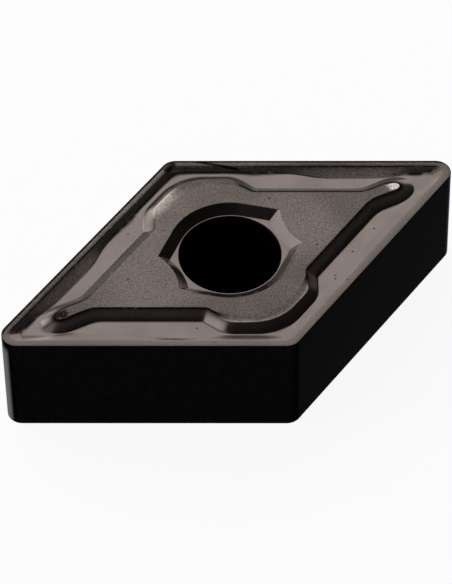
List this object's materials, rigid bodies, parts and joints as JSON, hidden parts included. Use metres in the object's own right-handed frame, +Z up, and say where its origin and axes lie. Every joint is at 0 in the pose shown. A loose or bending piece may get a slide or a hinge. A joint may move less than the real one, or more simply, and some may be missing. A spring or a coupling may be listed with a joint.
{
  "type": "carbide turning insert",
  "caption": "Rhombic turning insert with upright flanks, a plain clamping hole and a chip groove with wavy rake, ribs and lobes pressed into its faces.",
  "frame": {"origin": "on the bore's axis, in the plane of the lower seat", "axes": "+X along the long diagonal towards one nose, +Y along the short diagonal, +Z up along the bore"},
  "size_m": [0.0256, 0.0142, 0.0066],
  "materials": {
    "coated_carbide": "satin"
  },
  "bodies": {
    "root": {"carbide_insert": "coated_carbide"}
  },
  "joints": []
}
